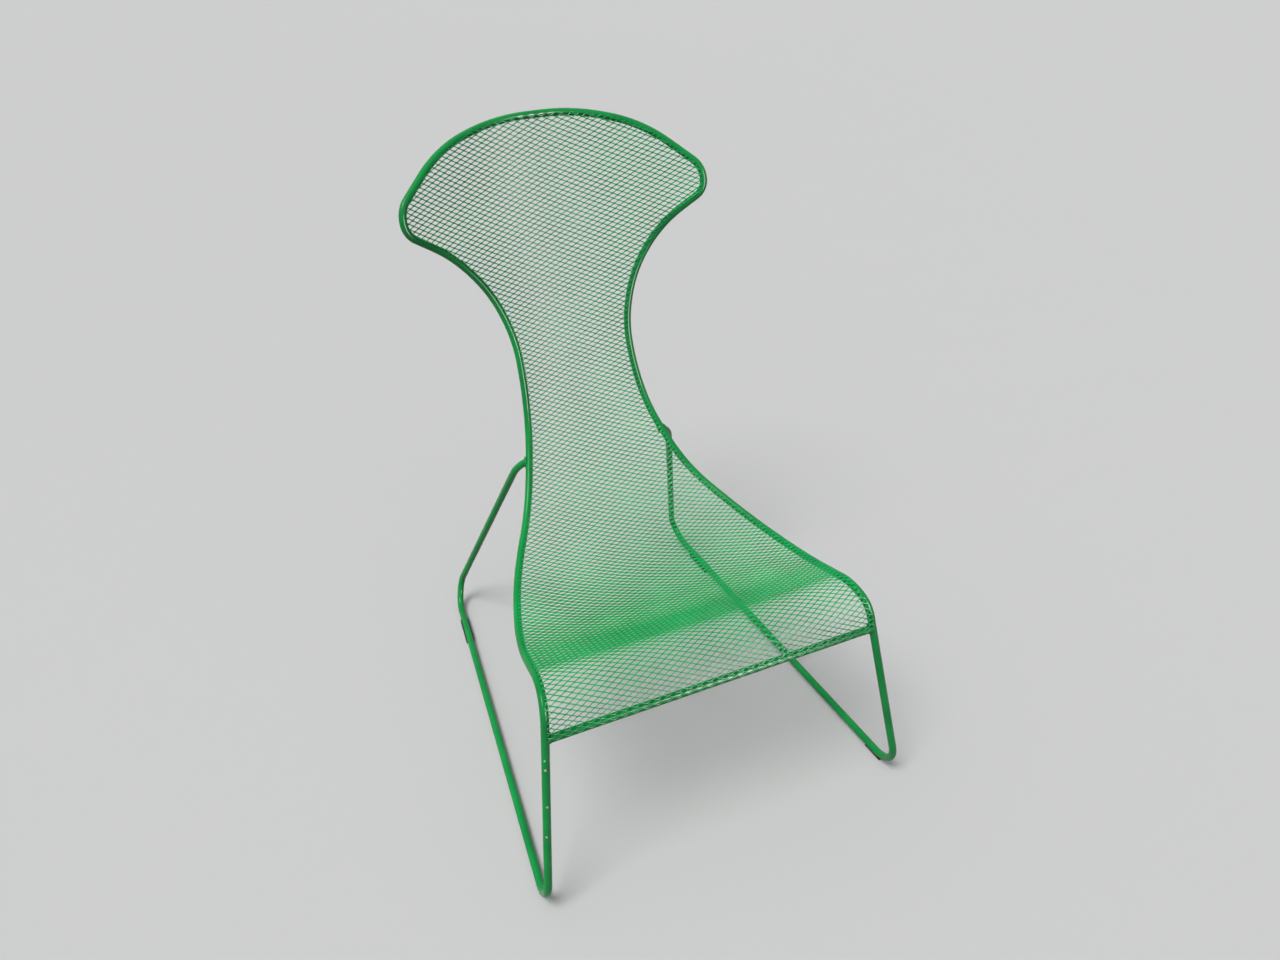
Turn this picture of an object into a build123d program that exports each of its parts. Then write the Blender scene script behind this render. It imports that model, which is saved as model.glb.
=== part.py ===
from build123d import *
import math
import os

# Bar, sheet and fits
bar_diameter = 12
mesh_thickness = 1.5
mesh_clearance = 0.3
cope_clearance = 0.3

# Headrest: height over the runners and setback of the mesh's top, recline in degrees, roll radius across
headrest_height = 904
headrest_setback = 739
headrest_recline = 19
back_roll = 430

# Headrest stations on the mesh's straight upper part: half width, drop below the top
headrest_top = (62, 0)
headrest_shoulder = (164, 32)
wing_upper = (243, 108)
wing_lower = (244, 143)
wing_root = (173, 184)
neck = (121, 248)
waist_upper = (96, 325)

# Seat stations from waist to lip: half width, setback, height over the runners, roll radius across
waist_lower = (97, 598, 504, back_roll)
lumbar = (107, 562, 437, back_roll)
low_back = (140, 485, 347, 500)
seat_rear = (204, 367, 287, 900)
seat_middle = (242, 230, 293, 2500)
seat_front = (247, 120, 336, 9000)
seat_lip = (254, 75, 322, 30000)

# Openings in the mesh, a coarse grid for its diamonds: pitches, rib width and plain border
grid_pitch_across = 50
grid_pitch_along = 28
grid_rib = 7.5
grid_border = 5

# Frame corners away from the mesh: half width, setback, height over the runners
front_foot = (299, 0, 0)
rear_foot = (242, 739, 0)
upright_hook = (140, 540, 395)

# Bends, as a share of the shorter run or as a radius, the sheet's step in degrees, and a roll that is flat
bend_share = 0.48
top_bend_share = 0.9
foot_bend_radius = 42
hook_bend_radius = 70
mesh_bend_step = 6
flat_roll = 200000

# Bar ends and welds, measured along the bar from the corner beside them
rail_drop = 44
leg_end_drop = 92
front_end_distance = 148
rear_end_distance = 178
upright_weld_share = 0.37

# Glides: rear saddles and front pads, with their middles measured along the runner from the foot corners
glide_sole = 3
glide_clearance = 0.3
glide_chamfer = 1
saddle_length = 60
saddle_wall = 1.2
saddle_rise = 1
saddle_distance = 120
pad_length = 36
pad_inset = 1.5
pad_distance = 56

# Weld beads, as reach over each bar
bead_reach = 2.5

bar_radius = bar_diameter / 2
mesh_lift = bar_radius + mesh_clearance + mesh_thickness / 2
headrest_lean = math.tan(math.radians(headrest_recline))
stations = []
for half_width, drop in (headrest_top, headrest_shoulder, wing_upper, wing_lower, wing_root, neck, waist_upper):
    setback = headrest_setback - headrest_lean * drop
    stations.append((half_width, setback, headrest_height - drop, back_roll))
stations += [waist_lower, lumbar, low_back, seat_rear, seat_middle, seat_front, seat_lip]
first, third, fourth, seventh, eighth, last = 0, 3, 4, 7, 8, len(stations) - 1


# Normals of the sheet's middle line, one for each run, towards the sitter
def run_normals():
    line = [Vector(0, setback, height) for _, setback, height, _ in stations]
    line.append(Vector(0, front_foot[1], front_foot[2]))
    normals = []
    for start, end in zip(line, line[1:]):
        along = (end - start).normalized()
        normals.append(Vector(0, along.Z, -along.Y))
    return [normals[0]] + normals


# Dip of the sheet's middle below its edges, and its slope at the edges
def roll_of(half_width, curvature):
    dip = half_width**2 * curvature / 2
    return dip, 2 * math.atan(dip / half_width)


# Corner of the bar's axis that carries the sheet's edge at a station
def bar_corner(station, normal):
    half_width, setback, height, roll = station
    dip, slope = roll_of(half_width, 1 / roll)
    edge = Vector(half_width, setback, height) + normal * dip
    return edge + Vector(mesh_lift * math.sin(slope), 0, 0) - normal * (mesh_lift * math.cos(slope))


# Half of the angle that the bar turns through at a corner
def half_turn(before, corner, after):
    return math.radians((corner - before).get_angle(after - corner)) / 2


# Start, crown and end of the arc that rounds a corner
def bend(before, corner, after, tangent):
    arrive = (corner - before).normalized()
    leave = (after - corner).normalized()
    turn = half_turn(before, corner, after)
    rise = tangent / math.tan(turn) * (1 / math.cos(turn) - 1)
    crown = corner + (leave - arrive).normalized() * rise
    return corner - arrive * tangent, crown, corner + leave * tangent


# Round bar along straight runs and tangent arcs
def bar(corners, tangents):
    edges = []
    here = corners[0]
    for before, corner, after, tangent in zip(corners, corners[1:], corners[2:], tangents):
        start, crown, end = bend(before, corner, after, tangent)
        edges.append(Line(here, start))
        edges.append(ThreePointArc(start, crown, end))
        here = end
    edges.append(Line(here, corners[-1]))
    section = Plane(origin=corners[0], z_dir=corners[1] - corners[0]) * Circle(bar_radius)
    return sweep(section, path=Wire([edge.edge() for edge in edges]))


# Round rod between two points
def rod(start, end, radius):
    section = Plane(origin=start, z_dir=end - start) * Circle(radius)
    return extrude(section, amount=(end - start).length)


def mirrored(point):
    return Vector(-point.X, point.Y, point.Z)


def between(start, end, share):
    return start + (end - start) * share


def towards(start, end, distance):
    return start + (end - start).normalized() * distance


# Route of the bar's axis on the right side, from the top middle to the weld behind the seat bar
normals = run_normals()
corner_normals = [(one + two).normalized() for one, two in zip(normals, normals[1:])]
seat_corners = [bar_corner(station, normal) for station, normal in zip(stations, corner_normals)]
top_middle = Vector(0, seat_corners[first].Y, seat_corners[first].Z)
front_corner = Vector(*front_foot)
rear_corner = Vector(*rear_foot)
hook_corner = Vector(*upright_hook)
weld_point = between(seat_corners[eighth], seat_corners[eighth + 1], upright_weld_share)

# Tangent lengths of the bends along the mesh
path = [top_middle] + seat_corners + [front_corner]
seat_tangents = []
for before, corner, after in zip(path, path[1:], path[2:]):
    seat_tangents.append(bend_share * min((corner - before).length, (after - corner).length))
top_run = (seat_corners[first] - top_middle).length
shoulder_run = (seat_corners[first + 1] - seat_corners[first]).length
seat_tangents[first] = top_bend_share * min(top_run, shoulder_run / 2)

# Tangent lengths of the foot bends and the hook
front_tangent = foot_bend_radius * math.tan(half_turn(seat_corners[last], front_corner, rear_corner))
rear_tangent = foot_bend_radius * math.tan(half_turn(front_corner, rear_corner, hook_corner))
hook_tangent = hook_bend_radius * math.tan(half_turn(rear_corner, hook_corner, weld_point))

# Places where one bar ends and the next begins
bow_joint = between(seat_corners[third], seat_corners[fourth], 0.5)
back_joint = between(seat_corners[seventh], seat_corners[eighth], 0.5)
leg_joint = towards(seat_corners[last], front_corner, leg_end_drop)
front_joint = towards(front_corner, rear_corner, front_end_distance)
rear_joint = towards(rear_corner, front_corner, rear_end_distance)
rail_end = towards(seat_corners[last], front_corner, rail_drop)

# Bow around the headrest, one bar from side to side
bow_half = seat_corners[first:fourth] + [bow_joint]
bow_tangents = seat_tangents[first:fourth]
headrest_bow = bar(
    [mirrored(point) for point in reversed(bow_half)] + bow_half,
    list(reversed(bow_tangents)) + bow_tangents,
)

# Bars of the right side
back_bar = bar([bow_joint] + seat_corners[fourth:eighth] + [back_joint], seat_tangents[fourth:eighth])
seat_bar = bar([back_joint] + seat_corners[eighth:] + [leg_joint], seat_tangents[eighth:])
front_leg = bar([leg_joint, front_corner, front_joint], [front_tangent])
runner = rod(front_joint, rear_joint, bar_radius)

# Upright, with its end shaped to sit against the seat bar
cope_reach = 2 * bar_diameter
seat_run = (seat_corners[eighth + 1] - seat_corners[eighth]).normalized() * cope_reach
rear_upright = bar([rear_joint, rear_corner, hook_corner, weld_point], [rear_tangent, hook_tangent])
rear_upright -= rod(weld_point - seat_run, weld_point + seat_run, bar_radius + cope_clearance)

# Rail across the front, with both ends shaped to sit against the legs
leg_run = (front_corner - seat_corners[last]).normalized() * cope_reach
leg_cope = rod(rail_end - leg_run, rail_end + leg_run, bar_radius + cope_clearance)
front_rail = rod(mirrored(rail_end), rail_end, bar_radius)
front_rail = front_rail - leg_cope - mirror(leg_cope, about=Plane.YZ)


# Bead in the corner between a bar and the branch that is welded to it
def weld_bead(point, along, branch):
    tip = point + branch.normalized() * cope_reach
    reach = bar_radius + bead_reach
    fit = bar_radius + cope_clearance
    corner = rod(point - along, point + along, reach) & rod(point, tip, reach)
    return corner - rod(point - along, point + along, fit) - rod(point, tip, fit)


upright_bead = weld_bead(weld_point, seat_run, hook_corner - weld_point)
rail_bead = weld_bead(rail_end, leg_run, mirrored(rail_end) - rail_end)
rail_front = Plane(origin=rail_end, z_dir=normals[-1]) * Box(
    2 * cope_reach, 2 * cope_reach, cope_reach, align=(Align.CENTER, Align.CENTER, Align.MIN)
)
rail_bead -= rail_front


# Edge and middle of the sheet beside a point of the bar's axis
def sheet_line(point, normal, curvature):
    _, slope = roll_of(point.X, curvature)
    edge = point + Vector(-mesh_lift * math.sin(slope), 0, 0) + normal * (mesh_lift * math.cos(slope))
    dip, _ = roll_of(edge.X, curvature)
    return edge, Vector(0, edge.Y, edge.Z) - normal * dip


# Lines across the sheet, from the top of the bow to the front rail, flat where it starts and ends
curvatures = [0] + [1 / roll for _, _, _, roll in stations] + [0]
runs = [seat_tangents[first]]
runs += [(end - start).length for start, end in zip(seat_corners, seat_corners[1:])]
runs.append(rail_drop)
lines = []
for index, tangent in enumerate(seat_tangents):
    before, corner, after = path[index : index + 3]
    arc = ThreePointArc(*bend(before, corner, after, tangent))
    steps = math.ceil(2 * math.degrees(half_turn(before, corner, after)) / mesh_bend_step)
    for step in range(steps + 1):
        share = step / steps
        normal = (normals[index] * (1 - share) + normals[index + 1] * share).normalized()
        side = 0 if share < 0.5 else 1
        reach = abs(2 * share - 1) * tangent / runs[index + side]
        curvature = curvatures[index + 1] * (1 - reach) + curvatures[index + 2 * side] * reach
        lines.append((*sheet_line(arc.position_at(share), normal, curvature), normal))
lines.append((*sheet_line(rail_end, normals[-1], 0), normals[-1]))

# Distances of those lines from the top, along the sheet's middle
distances = [0]
for (_, one, _), (_, two, _) in zip(lines, lines[1:]):
    distances.append(distances[-1] + (two - one).length)


# Half width, middle, normal and curvature of the sheet at a distance from its top
def sheet_at(distance):
    index = max(i for i, start in enumerate(distances[:-1]) if start <= distance)
    share = (distance - distances[index]) / (distances[index + 1] - distances[index])
    edge, middle, normal = [between(one, two, share) for one, two in zip(lines[index], lines[index + 1])]
    normal = normal.normalized()
    dip = (edge - middle).dot(normal)
    return edge.X, middle, normal, 2 * dip / (edge.X**2 + dip**2)


# Section across the sheet between two sides, straight where it is all but flat
def sheet_section(distance, left, right):
    _, middle, normal, curvature = sheet_at(distance)
    flat = curvature * flat_roll < 1

    def point(side, lift):
        if flat:
            return middle + Vector(side, 0, 0) + normal * lift
        angle = math.asin(side * curvature)
        radius = 1 / curvature - lift
        rise = 1 / curvature - radius * math.cos(angle)
        return middle + Vector(radius * math.sin(angle), 0, 0) + normal * rise

    def across(start, end, lift):
        if flat:
            return Line(point(start, lift), point(end, lift))
        return ThreePointArc(point(start, lift), point((start + end) / 2, lift), point(end, lift))

    half = mesh_thickness / 2
    outline = [
        across(left, right, half),
        Line(point(right, half), point(right, -half)),
        across(right, left, -half),
        Line(point(left, -half), point(left, half)),
    ]
    return Face(Wire([side.edge() for side in outline]))


# Strip of the sheet between two distances, as far as its edges or the limits given at both ends
def strip(start, end, left=None, right=None):
    sections = []
    for place in [start] + [line for line in distances if start < line < end] + [end]:
        share = (place - start) / (end - start)
        half_width, _, _, _ = sheet_at(place)
        from_side = between(*left, share) if left else -half_width
        to_side = between(*right, share) if right else half_width
        sections.append(sheet_section(place, from_side, to_side))
    return loft(sections, ruled=True)


# Half width inside the plain border
def grid_half(distance):
    nearby = [distance - grid_border, distance, distance + grid_border]
    return min(sheet_at(place)[0] for place in nearby) - grid_border


# Sheet as strips around a grid of openings, in rows down the sheet and spread evenly across each row
grid_length = distances[-1] - 2 * grid_border
row_count = round(grid_length / grid_pitch_along)
strips = []
rib_start = 0
for row in range(row_count):
    start = grid_border + grid_length * row / row_count + grid_rib / 2
    end = grid_border + grid_length * (row + 1) / row_count - grid_rib / 2
    strips.append(strip(rib_start, start))
    rib_start = end
    halves = [grid_half(start), grid_half(end)]
    columns = max(1, round(sum(halves) / grid_pitch_across))
    for column in range(columns + 1):
        middle = 2 * column / columns - 1
        left = [half * middle - grid_rib / 2 for half in halves] if column > 0 else None
        right = [half * middle + grid_rib / 2 for half in halves] if column < columns else None
        strips.append(strip(start, end, left, right))
strips.append(strip(rib_start, distances[-1]))
mesh_panel = strips[0].fuse(*strips[1:])


# Glide under a runner, seen from its end and drawn out along the runner
def glide(middle, length, width):
    along = (rear_corner - front_corner).normalized()
    end = Plane(origin=middle - along * (length / 2), x_dir=Vector(0, 0, 1).cross(along), z_dir=along)
    height = bar_radius + glide_sole + saddle_rise
    profile = Pos(0, saddle_rise - height / 2) * Rectangle(width, height)
    block = extrude(end * profile, amount=length)
    soles = block.edges().group_by(Axis.Z)[0]
    block = chamfer(soles, glide_chamfer)
    groove = rod(middle - along * length, middle + along * length, bar_radius + glide_clearance)
    return block - groove


pad_middle = towards(front_corner, rear_corner, pad_distance)
front_glide = glide(pad_middle, pad_length, bar_diameter - 2 * pad_inset)
saddle_middle = towards(rear_corner, front_corner, saddle_distance)
rear_glide = glide(saddle_middle, saddle_length, 2 * (bar_radius + glide_clearance + saddle_wall))

# Nodes, with the left side mirrored from the right
nodes = {"headrest_bow": headrest_bow, "front_rail": front_rail, "mesh_panel": mesh_panel}
sided = {
    "{}_back_bar": back_bar,
    "{}_seat_bar": seat_bar,
    "{}_front_leg": front_leg,
    "{}_runner": runner,
    "{}_rear_upright": rear_upright,
    "front_{}_glide": front_glide,
    "rear_{}_glide": rear_glide,
}
for name, shape in sided.items():
    nodes[name.format("right")] = shape
    nodes[name.format("left")] = mirror(shape, about=Plane.YZ)
for name, bead in {"front_rail_weld_beads": rail_bead, "upright_weld_beads": upright_bead}.items():
    nodes[name] = Compound(bead.solids() + mirror(bead, about=Plane.YZ).solids())

# Origin at the bottom centre of the whole chair
box = Compound([solid for shape in nodes.values() for solid in shape.solids()]).bounding_box()
place = Pos(0, -(box.min.Y + box.max.Y) / 2, -box.min.Z)
os.makedirs("parts", exist_ok=True)
for name, shape in nodes.items():
    solids = (place * shape).solids()
    shape = solids[0] if len(solids) == 1 else Compound(solids)
    export_step(shape, f"parts/{name}.step", write_pcurves=False)
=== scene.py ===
import math

import bpy
import numpy as np
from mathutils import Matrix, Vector


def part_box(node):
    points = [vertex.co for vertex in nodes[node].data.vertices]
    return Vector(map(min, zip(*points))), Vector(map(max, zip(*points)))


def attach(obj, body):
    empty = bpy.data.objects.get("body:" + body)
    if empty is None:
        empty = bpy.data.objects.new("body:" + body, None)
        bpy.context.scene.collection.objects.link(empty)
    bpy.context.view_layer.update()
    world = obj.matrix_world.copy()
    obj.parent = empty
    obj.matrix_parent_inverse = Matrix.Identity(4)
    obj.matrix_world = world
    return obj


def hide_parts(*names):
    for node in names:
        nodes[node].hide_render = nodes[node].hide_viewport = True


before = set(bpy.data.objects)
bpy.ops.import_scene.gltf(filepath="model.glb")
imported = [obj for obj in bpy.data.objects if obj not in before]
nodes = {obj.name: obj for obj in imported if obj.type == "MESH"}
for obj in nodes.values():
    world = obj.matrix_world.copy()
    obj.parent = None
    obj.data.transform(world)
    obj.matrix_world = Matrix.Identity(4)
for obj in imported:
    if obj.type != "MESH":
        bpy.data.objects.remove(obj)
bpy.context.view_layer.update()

# Bent bar frame: 12 mm round mild steel, cold bent around formers and welded into one
# line from the headrest to the floor, then degreased and powder coated in bright green.
# The coat is semi-gloss with fine orange peel and a few pale chips on the left front leg.
bar_nodes = [
    "headrest_bow", "left_back_bar", "right_back_bar", "left_seat_bar", "right_seat_bar",
    "left_front_leg", "right_front_leg", "left_runner", "right_runner",
    "left_rear_upright", "right_rear_upright", "front_rail",
]
coat_deep = (0.001, 0.235, 0.045, 1)
coat_bright = (0.002, 0.340, 0.066, 1)
coat_gloss = 0.24
coat_roughness = (0.16, 0.28)
tone_grain = 14
sheen_grain = 60
peel_grain = 420
bar_peel = 0.00025
chip_pale = (0.55, 0.66, 0.56, 1)
chip_edge_grain = 900
chip_edge_fade = 1.12
chipped_nodes = ("left_seat_bar", "left_front_leg")
mm_per_metre = 1000

# Place and size of each chip in millimetres, from the top down
leg_chips = [
    ((-267, -320, 259), 2.6), ((-268, -323.5, 245), 3.0),
    ((-274.5, -338, 188), 3.0), ((-283, -349, 141), 2.6),
]


def powder_coat(name, deep, bright, peel_depth, chips=()):
    """Semi-gloss green coat: slow tone drift, orange peel, roughness patches and bare chips."""
    material = bpy.data.materials.new(name)
    material.use_nodes = True
    tree = material.node_tree
    shader = tree.nodes["Principled BSDF"]
    shader.inputs["IOR"].default_value = 1.5
    shader.inputs["Specular IOR Level"].default_value = coat_gloss
    place = tree.nodes.new("ShaderNodeTexCoord").outputs["Object"]

    def noise(scale, detail):
        texture = tree.nodes.new("ShaderNodeTexNoise")
        texture.inputs["Scale"].default_value = scale
        texture.inputs["Detail"].default_value = detail
        tree.links.new(place, texture.inputs["Vector"])
        return texture.outputs["Fac"]

    tone = tree.nodes.new("ShaderNodeValToRGB")
    tone.color_ramp.elements[0].position = 0.30
    tone.color_ramp.elements[0].color = deep
    tone.color_ramp.elements[1].position = 0.70
    tone.color_ramp.elements[1].color = bright
    tree.links.new(noise(tone_grain, 3), tone.inputs["Fac"])
    colour = tone.outputs["Color"]

    for place_mm, size_mm in chips:
        size = size_mm / mm_per_metre
        distance = tree.nodes.new("ShaderNodeVectorMath")
        distance.operation = "DISTANCE"
        distance.inputs[1].default_value = Vector(place_mm) / mm_per_metre
        tree.links.new(place, distance.inputs[0])
        rough_edge = tree.nodes.new("ShaderNodeMath")
        rough_edge.operation = "MULTIPLY_ADD"
        rough_edge.inputs[1].default_value = size
        tree.links.new(noise(chip_edge_grain, 1), rough_edge.inputs[0])
        tree.links.new(distance.outputs["Value"], rough_edge.inputs[2])
        mask = tree.nodes.new("ShaderNodeMapRange")
        mask.inputs["From Min"].default_value = size
        mask.inputs["From Max"].default_value = size * chip_edge_fade
        mask.inputs["To Min"].default_value = 1
        mask.inputs["To Max"].default_value = 0
        tree.links.new(rough_edge.outputs["Value"], mask.inputs["Value"])
        mix = tree.nodes.new("ShaderNodeMix")
        mix.data_type = "RGBA"
        tree.links.new(mask.outputs["Result"], mix.inputs["Factor"])
        tree.links.new(colour, mix.inputs["A"])
        mix.inputs["B"].default_value = chip_pale
        colour = mix.outputs["Result"]
    tree.links.new(colour, shader.inputs["Base Color"])

    sheen = tree.nodes.new("ShaderNodeMapRange")
    sheen.inputs["To Min"].default_value = coat_roughness[0]
    sheen.inputs["To Max"].default_value = coat_roughness[1]
    tree.links.new(noise(sheen_grain, 4), sheen.inputs["Value"])
    tree.links.new(sheen.outputs["Result"], shader.inputs["Roughness"])

    peel = tree.nodes.new("ShaderNodeBump")
    peel.inputs["Strength"].default_value = 0.35
    peel.inputs["Distance"].default_value = peel_depth
    tree.links.new(noise(peel_grain, 2), peel.inputs["Height"])
    tree.links.new(peel.outputs["Normal"], shader.inputs["Normal"])
    return material


bar_coat = powder_coat("bar_powder_coat", coat_deep, coat_bright, bar_peel)
chipped_coat = powder_coat("chipped_powder_coat", coat_deep, coat_bright, bar_peel, leg_chips)
for name in bar_nodes:
    nodes[name].data.materials.clear()
    nodes[name].data.materials.append(chipped_coat if name in chipped_nodes else bar_coat)

# Weld beads: short fillet runs laid by hand where the rail meets the legs and where the
# uprights meet the seat bars, coated with the frame.
bead_ripple = 0.0015
bead_coat = powder_coat("bead_powder_coat", coat_deep, coat_bright, bead_ripple)
for name in ("front_rail_weld_beads", "upright_weld_beads"):
    nodes[name].data.materials.clear()
    nodes[name].data.materials.append(bead_coat)

# Expanded steel sheet: one blank slit and pulled into 16 by 8 mm diamonds, rolled across
# and pressed along its length, trimmed to the bar's crest and spot welded to the frame.
# Its strands stay tilted because the sheet isn't flattened. It is coated with the frame, and its green
# here is painted lighter than the frame's, as painted light on the strands.
headrest_recline = math.radians(19)
headrest_setback = 739
headrest_height = 904
headrest_roll = 430

# In millimetres: half width and drop down the headrest, then half width, setback, height and
# roll radius of the back and seat, from the waist to the front lip
headrest = np.array([
    (62, 0), (164, 32), (243, 108), (244, 143), (173, 184), (121, 248), (96, 325),
], float)
seat = np.array([
    (97, 598, 504, 430), (107, 562, 437, 430), (140, 485, 347, 500), (204, 367, 287, 900),
    (242, 230, 293, 2500), (247, 120, 336, 9000), (254, 75, 322, 30000),
], float)
front_foot = np.array((299.0, 0.0, 0.0))
sheet_lift = 7.05
rail_drop = 44
bend_share = 0.48
top_bend_share = 0.9
bend_steps = 25
flat_curvature = 1e-5
long_pitch = 16.3
short_pitch = 8.2
strand_width = 1.5
strand_thickness = 1.0
strand_tilt = math.radians(36)
bond_length = 2.6
edge_trim = 1.0
strand_lift = 0.2
cut_edge_angle = math.radians(50)
mesh_peel = 0.00008
# Painted light: the strands' green is set lighter than the frame's coat, though the real sheet has the
# same coat as the bars.
mesh_deep_painted_lighter = (0.004, 0.36, 0.085, 1)
mesh_bright_painted_lighter = (0.008, 0.47, 0.120, 1)


def unit(v):
    return v / np.linalg.norm(v)


# One row of stations from the top of the headrest to the lip, all in the seat's terms
recline = math.tan(headrest_recline)
stations = np.vstack([
    [
        (half, headrest_setback - recline * drop, headrest_height - drop, headrest_roll)
        for half, drop in headrest
    ],
    seat,
])

# Sheet normals along the middle line, and the bar corners that carry the sheet's edges
line = np.vstack([stations[:, 1:3], front_foot[1:]])
along = np.array([unit(step) for step in np.diff(line, axis=0)])
run_normals = np.column_stack([along[:, 1], -along[:, 0]])
run_normals = np.vstack([run_normals[:1], run_normals])
corner_normals = np.array([unit(a + b) for a, b in zip(run_normals, run_normals[1:])])
half_width, roll = stations[:, 0], stations[:, 3]
dip = half_width**2 / (2 * roll)
slope = 2 * np.arctan(dip / half_width)
corners = np.column_stack([
    half_width + sheet_lift * np.sin(slope),
    stations[:, 1:3] + corner_normals * (dip - sheet_lift * np.cos(slope))[:, None],
])
path = np.vstack([corners[0] * (0, 1, 1), corners, front_foot])
runs = np.linalg.norm(np.diff(path, axis=0), axis=1)
tangents = bend_share * np.minimum(runs[:-1], runs[1:])
tangents[0] = top_bend_share * min(runs[0], runs[1] / 2)
rail = corners[-1] + unit(front_foot - corners[-1]) * rail_drop
rail_low, rail_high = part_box("front_rail")
frame_shift = np.array((rail_low + rail_high) / 2) * mm_per_metre - rail * (0, 1, 1)

# Cross-sections along the bar's bends: axis point, normal and curvature across
curvatures = np.concatenate([[0], 1 / roll, [0]])
spans = np.concatenate([[tangents[0]], runs[1:-1], [rail_drop]])
rows = []
for i, tangent in enumerate(tangents):
    before, corner, after = path[i:i + 3]
    arrive, leave = unit(corner - before), unit(after - corner)
    turn = math.acos(arrive @ leave)
    radius = tangent / math.tan(turn / 2)
    inward = unit(leave - arrive * (arrive @ leave))
    for share in np.linspace(0, 1, bend_steps):
        angle = share * turn
        swing = arrive * math.sin(angle) + inward * (1 - math.cos(angle))
        point = corner - arrive * tangent + radius * swing
        normal = unit(run_normals[i] * (1 - share) + run_normals[i + 1] * share)
        side = 0 if share < 0.5 else 1
        reach = abs(2 * share - 1) * tangent / spans[i + side]
        curvature = curvatures[i + 1] * (1 - reach) + curvatures[i + 2 * side] * reach
        rows.append((*point, *normal, curvature))
rows.append((*rail, *run_normals[-1], 0))
rows = np.array(rows)
across, normal_line, bend = rows[:, 0], rows[:, 3:5], rows[:, 5]
slope = 2 * np.arctan(across * bend / 2)
edge = across - sheet_lift * np.sin(slope)
middle = rows[:, 1:3] + normal_line * (sheet_lift * np.cos(slope) - edge**2 * bend / 2)[:, None]
roll_radius = 1 / np.maximum(bend, flat_curvature) + edge**2 * bend / 4
half_arc = roll_radius * np.arcsin(edge / roll_radius)
from_rail = np.concatenate([[0], np.cumsum(np.linalg.norm(np.diff(middle, axis=0), axis=1))])
length = from_rail[-1]
from_rail = length - from_rail


def look_up(u, values):
    return np.interp(u, from_rail[::-1], values[::-1])


def on_sheet(xi, u, off):
    """Place in metres of a point xi across, u up from the rail and off towards the sitter."""
    r = look_up(u, roll_radius)
    n = np.column_stack([look_up(u, normal_line[:, 0]), look_up(u, normal_line[:, 1])])
    n /= np.linalg.norm(n, axis=1)[:, None]
    m = np.column_stack([look_up(u, middle[:, 0]), look_up(u, middle[:, 1])])
    angle = xi / r
    yz = m + n * (r - (r - off) * np.cos(angle))[:, None]
    return (np.column_stack([(r - off) * np.sin(angle), yz]) + frame_shift) / mm_per_metre


# One zigzag strand for each row, clipped to the sheet's outline
half_long, half_short = long_pitch / 2, short_pitch / 2
lean = np.array((math.cos(strand_tilt), math.sin(strand_tilt))) * strand_width / 2
face = np.array((-math.sin(strand_tilt), math.cos(strand_tilt))) * strand_thickness / 2
ring = [-lean - face, lean - face, lean + face, -lean + face]
sides = len(ring)
vertices, faces = [], []
count = 0
last_bond = math.ceil(half_arc.max() / half_long)
for row in range(int(length / half_short) + 1):
    strand = []
    for bond in range(-last_bond, last_bond + 1):
        lower = (bond + row) % 2 == 0
        u = row * half_short + lean[0] if lower else (row + 1) * half_short - lean[0]
        off = strand_lift + (lean[1] if lower else -lean[1])
        strand.append((bond * half_long - bond_length / 2, u, off))
        strand.append((bond * half_long + bond_length / 2, u, off))
    strand = np.array(strand)
    room = look_up(strand[:, 1], half_arc) - edge_trim - np.abs(strand[:, 0])
    room[(strand[:, 1] < 0) | (strand[:, 1] > length)] = -1
    pieces, piece = [], []
    for a, b, room_a, room_b in zip(strand, strand[1:], room, room[1:]):
        if room_a < 0 and room_b < 0:
            continue
        if room_a < 0:
            piece = [a + (b - a) * room_a / (room_a - room_b), b]
        elif room_b < 0:
            pieces.append((piece or [a]) + [a + (b - a) * room_a / (room_a - room_b)])
            piece = []
        else:
            piece = (piece or [a]) + [b]
    if piece:
        pieces.append(piece)
    for piece in pieces:
        piece = np.array(piece)
        corners_3d = [on_sheet(piece[:, 0], piece[:, 1] + du, piece[:, 2] + dn) for du, dn in ring]
        vertices.append(np.stack(corners_3d, axis=1).reshape(-1, 3))
        size = len(piece)
        faces.append((count + 3, count + 2, count + 1, count))
        for k in range(size - 1):
            for c in range(sides):
                d = (c + 1) % sides
                base = count + sides * k
                faces.append((base + c, base + d, base + sides + d, base + sides + c))
        end = count + sides * (size - 1)
        faces.append((end, end + 1, end + 2, end + 3))
        count += sides * size
mesh = bpy.data.meshes.new("expanded_mesh")
mesh.from_pydata(np.vstack(vertices).tolist(), [], faces)

# Cut edges stay sharp, and the coat rounds the two crests that stand proud of the sheet
mesh.shade_smooth()
mesh.set_sharp_from_angle(angle=cut_edge_angle)
for strand_edge in mesh.edges:
    a, b = strand_edge.vertices
    if a % sides == b % sides and a % 2 == 0:
        strand_edge.use_edge_sharp = False
expanded = bpy.data.objects.new("expanded_mesh", mesh)
bpy.context.scene.collection.objects.link(expanded)
mesh.materials.append(powder_coat("mesh_coat_painted_lighter", mesh_deep_painted_lighter, mesh_bright_painted_lighter, mesh_peel))
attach(expanded, "root")
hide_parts("mesh_panel")

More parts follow.
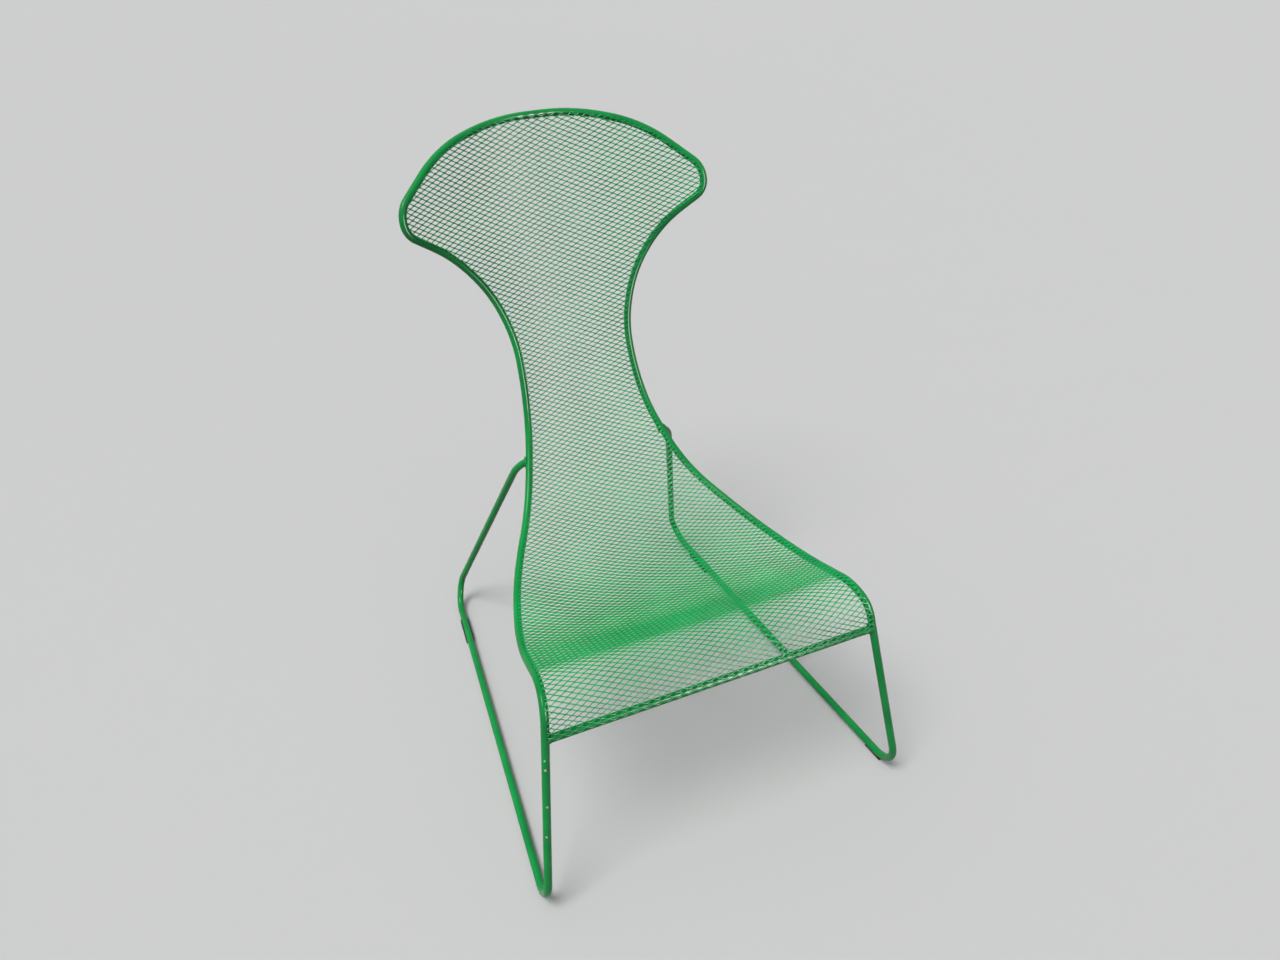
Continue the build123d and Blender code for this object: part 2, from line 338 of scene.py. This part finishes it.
# Glides: black moulded polyamide, two saddles clipped over the runners at the rear and two
# pads under their front bends. Each has a flat sole that keeps the coat off the floor.
glide_black = (0.008, 0.008, 0.009, 1)
glide_grey = (0.022, 0.022, 0.023, 1)
glide_grain = 1500
glide_plastic = bpy.data.materials.new("glide_plastic")
glide_plastic.use_nodes = True
tree = glide_plastic.node_tree
shader = tree.nodes["Principled BSDF"]
shader.inputs["Roughness"].default_value = 0.55
place = tree.nodes.new("ShaderNodeTexCoord").outputs["Object"]
grain = tree.nodes.new("ShaderNodeTexNoise")
grain.inputs["Scale"].default_value = glide_grain
grain.inputs["Detail"].default_value = 3
tree.links.new(place, grain.inputs["Vector"])
tone = tree.nodes.new("ShaderNodeValToRGB")
tone.color_ramp.elements[0].color = glide_black
tone.color_ramp.elements[1].color = glide_grey
tree.links.new(grain.outputs["Fac"], tone.inputs["Fac"])
tree.links.new(tone.outputs["Color"], shader.inputs["Base Color"])
bump = tree.nodes.new("ShaderNodeBump")
bump.inputs["Strength"].default_value = 0.25
bump.inputs["Distance"].default_value = 0.0002
tree.links.new(grain.outputs["Fac"], bump.inputs["Height"])
tree.links.new(bump.outputs["Normal"], shader.inputs["Normal"])
for name in ("front_left_glide", "front_right_glide", "rear_left_glide", "rear_right_glide"):
    nodes[name].data.materials.clear()
    nodes[name].data.materials.append(glide_plastic)

# Floor: a plain pale grey sheet that the chair stands on, not part of it. It looks pale to
# the camera, and sends less light than that back up to the chair.
floor_reach = 40
floor_low_grey = (0.57, 0.57, 0.565, 1)
floor_high_grey = (0.62, 0.62, 0.615, 1)
floor_bounce = (0.20, 0.20, 0.20, 1)


def seen_rays(tree):
    """1 for rays by which the camera, gloss or glass sees the surface, and 0 for the rest."""
    ray = tree.nodes.new("ShaderNodeLightPath").outputs
    seen = ray["Is Camera Ray"]
    for kind in ("Is Glossy Ray", "Is Transmission Ray"):
        either = tree.nodes.new("ShaderNodeMath")
        either.operation = "MAXIMUM"
        tree.links.new(seen, either.inputs[0])
        tree.links.new(ray[kind], either.inputs[1])
        seen = either.outputs["Value"]
    return seen


floor_mesh = bpy.data.meshes.new("floor")
floor_corners = [(x * floor_reach, y * floor_reach, 0) for x, y in ((-1, -1), (1, -1), (1, 1), (-1, 1))]
floor_mesh.from_pydata(floor_corners, [], [(0, 1, 2, 3)])
floor = bpy.data.objects.new("floor", floor_mesh)
bpy.context.scene.collection.objects.link(floor)
floor_paint = bpy.data.materials.new("floor_paint")
floor_paint.use_nodes = True
tree = floor_paint.node_tree
shader = tree.nodes["Principled BSDF"]
shader.inputs["Roughness"].default_value = 0.9
shader.inputs["Specular IOR Level"].default_value = 0
patches = tree.nodes.new("ShaderNodeTexNoise")
patches.inputs["Scale"].default_value = 3
tone = tree.nodes.new("ShaderNodeValToRGB")
tone.color_ramp.elements[0].color = floor_low_grey
tone.color_ramp.elements[1].color = floor_high_grey
tree.links.new(patches.outputs["Fac"], tone.inputs["Fac"])
bounce = tree.nodes.new("ShaderNodeMix")
bounce.data_type = "RGBA"
bounce.inputs["A"].default_value = floor_bounce
tree.links.new(seen_rays(tree), bounce.inputs["Factor"])
tree.links.new(tone.outputs["Color"], bounce.inputs["B"])
tree.links.new(bounce.outputs["Result"], shader.inputs["Base Color"])
floor_mesh.materials.append(floor_paint)

# Studio light: a soft dome and a broad key, both from above and a little to the front left.
# The camera and gloss see an even pale backdrop in place of the dome. A tall soft box at the
# front right shows only in the coat's gloss.
dome_side = Vector((-0.40, -0.15, 0.90)).normalized()
backdrop_level = 0.58
sheen_target = Vector((0, 0.2, 0.6))
world = bpy.data.worlds.new("dome")
world.use_nodes = True
tree = world.node_tree
background = tree.nodes["Background"]
background.inputs["Color"].default_value = (0.97, 0.99, 1.0, 1)
direction = tree.nodes.new("ShaderNodeTexCoord").outputs["Generated"]
towards_key = tree.nodes.new("ShaderNodeVectorMath")
towards_key.operation = "DOT_PRODUCT"
towards_key.inputs[1].default_value = dome_side
tree.links.new(direction, towards_key.inputs[0])
glow = tree.nodes.new("ShaderNodeMapRange")
glow.interpolation_type = "SMOOTHSTEP"
glow.inputs["From Min"].default_value = 0.2
glow.inputs["From Max"].default_value = 1.0
glow.inputs["To Min"].default_value = 0.08
glow.inputs["To Max"].default_value = 0.85
tree.links.new(towards_key.outputs["Value"], glow.inputs["Value"])
backdrop = tree.nodes.new("ShaderNodeMix")
tree.links.new(seen_rays(tree), backdrop.inputs["Factor"])
tree.links.new(glow.outputs["Result"], backdrop.inputs["A"])
backdrop.inputs["B"].default_value = backdrop_level
tree.links.new(backdrop.outputs["Result"], background.inputs["Strength"])
bpy.context.scene.world = world
key = bpy.data.lights.new("key", "SUN")
key.energy = 1.95
key.angle = math.radians(28)
key_light = bpy.data.objects.new("key", key)
key_light.rotation_euler = (-dome_side).to_track_quat("-Z", "Y").to_euler()
bpy.context.scene.collection.objects.link(key_light)
sheen_box = bpy.data.lights.new("sheen_box", "AREA")
sheen_box.shape = "RECTANGLE"
sheen_box.size, sheen_box.size_y = 0.5, 2.2
sheen_box.energy = 200
sheen_light = bpy.data.objects.new("sheen_box", sheen_box)
sheen_light.location = (1.2, -3.2, 1.5)
towards_chair = sheen_target - sheen_light.location
sheen_light.rotation_euler = towards_chair.to_track_quat("-Z", "Y").to_euler()
sheen_light.visible_diffuse = False
bpy.context.scene.collection.objects.link(sheen_light)

# Camera: the photo's place and viewing angle, worked out from the chair's own edges in it.
# Its focal length and width are in the photo's pixels.
focal_pixels = 957
photo_pixels = 1280
sensor_width = 36
lens = bpy.data.cameras.new("camera")
lens.sensor_width = sensor_width
lens.lens = focal_pixels / photo_pixels * sensor_width
camera = bpy.data.objects.new("camera", lens)
camera.location = (-0.4713, -1.1466, 1.2902)
camera.rotation_euler = [math.radians(angle) for angle in (55.48, 0.874, -23.56)]
bpy.context.scene.collection.objects.link(camera)
bpy.context.scene.camera = camera
bpy.context.scene.view_settings.view_transform = "Standard"
